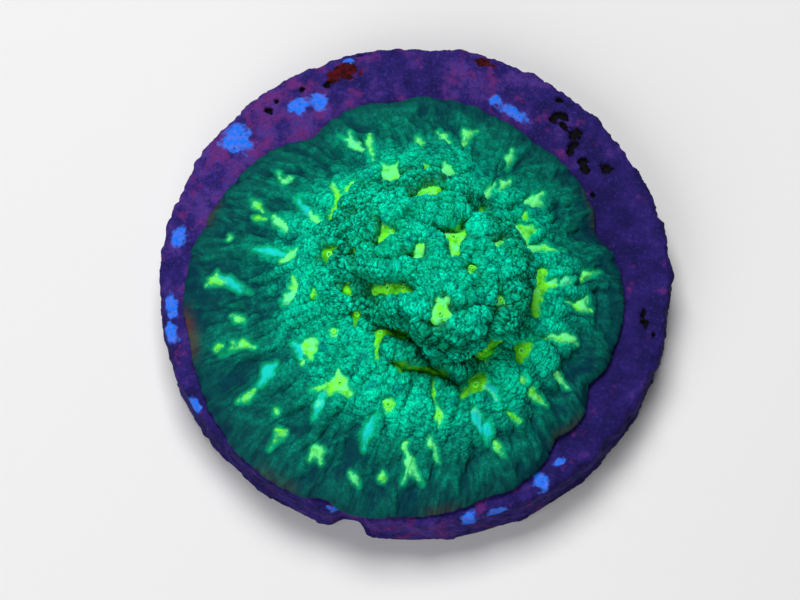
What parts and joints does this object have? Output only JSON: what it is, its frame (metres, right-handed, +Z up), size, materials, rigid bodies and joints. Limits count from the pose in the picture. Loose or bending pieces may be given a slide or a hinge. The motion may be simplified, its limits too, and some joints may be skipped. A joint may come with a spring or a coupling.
{
  "type": "chalice coral colony on a round frag disc",
  "caption": "Encrusting chalice coral colony: a granular mound with a central knob and a pleated skirt, grown over a flat round ceramic disc.",
  "frame": {"origin": "centre of the disc's flat underside, which is the bottom centre of the whole object's box", "axes": "+Z up, at right angles to the disc; +X to the right and +Y away from a viewer who stands at -Y, with the colony's knob a little to +X of the middle and the bare rim widest at +Y and +X"},
  "size_m": [0.0507, 0.0506, 0.02],
  "materials": {
    "coral_tissue": "matte",
    "crusted_ceramic": "matte"
  },
  "bodies": {
    "root": {"coral_colony": "coral_tissue", "frag_disc": "crusted_ceramic"}
  },
  "joints": []
}
